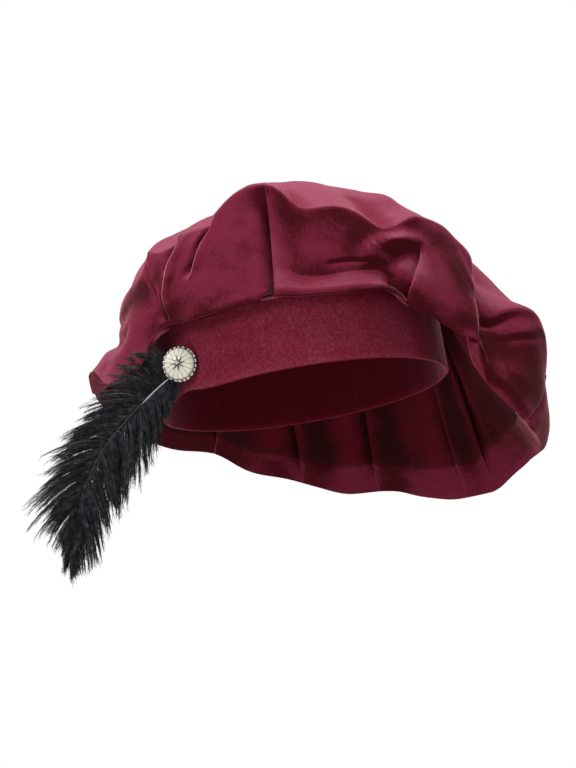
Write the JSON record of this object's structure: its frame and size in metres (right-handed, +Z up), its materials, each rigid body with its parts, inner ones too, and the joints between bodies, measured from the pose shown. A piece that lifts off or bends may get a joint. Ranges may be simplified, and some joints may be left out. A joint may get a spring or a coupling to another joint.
{
  "type": "renaissance beret",
  "caption": "Soft gathered velvet beret in dark red, slouching to one side over a plain headband, with a round silver and cream brooch and a drooping black ostrich plume.",
  "frame": {"origin": "middle of the head opening, level with the band's lower rim, where a head fills the hat", "axes": "+Z up along the band's axis towards the apex, -Y the hat's front, +X the wearer's left, towards which the crown slouches"},
  "size_m": [0.3313, 0.2647, 0.2403],
  "materials": {
    "velvet": "burgundy panne velvet, mottled nap",
    "velvet_underside": "burgundy velvet, nap seen from below",
    "velvet_band": "burgundy velvet, laid flat over a doubled band",
    "silver": "cast and darkened in the hollows, polished on the edges",
    "pearl": "pearly cream",
    "crystal": "faceted, clear",
    "steel": "plain",
    "quill": "horn, grey-white and glossy at the root",
    "feather": "black ostrich barbs, soft sheen"
  },
  "bodies": {
    "root": {"crown_top": "velvet", "crown_under": "velvet_underside", "band": "velvet_band", "brooch_base": "silver", "brooch_dome": "pearl", "brooch_star": "silver", "brooch_gem": "crystal", "brooch_post": "steel", "quill": "quill", "plume": "feather"}
  },
  "joints": []
}
